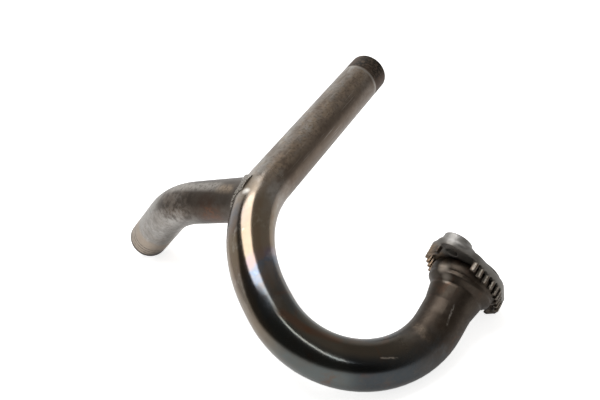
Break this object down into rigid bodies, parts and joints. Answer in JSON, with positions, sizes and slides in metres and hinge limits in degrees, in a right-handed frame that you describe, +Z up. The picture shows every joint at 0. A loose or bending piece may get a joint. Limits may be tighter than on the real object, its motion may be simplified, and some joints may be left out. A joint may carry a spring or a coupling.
{
  "type": "motorbike exhaust header pipe",
  "caption": "Bent stainless exhaust header pipe for a motorbike, with a welded branch pipe and a loose ribbed stud flange at the port.",
  "frame": {"origin": "centre of the bounding box's base, on the surface that the pipe rests on", "axes": "+Z up, +Y from the viewer of the picture through the lower bend towards the leg's raised end, +X to the right with the port"},
  "size_m": [0.317, 0.3363, 0.1438],
  "materials": {
    "heat_tinted_stainless": "satin",
    "weld_bead": "rough",
    "cast_flange": "rough"
  },
  "bodies": {
    "pipe": {"main_pipe": "heat_tinted_stainless", "branch_pipe": "heat_tinted_stainless", "branch_weld": "weld_bead"},
    "flange": {"stud_flange": "cast_flange"}
  },
  "joints": [
    {"name": "flange_turn", "type": "hinge", "parent": "pipe", "child": "flange", "pos_m": [0.12979, -0.09293, 0.04061], "axis": [0.6746, 0.6176, 0.4045], "continuous": true}
  ]
}
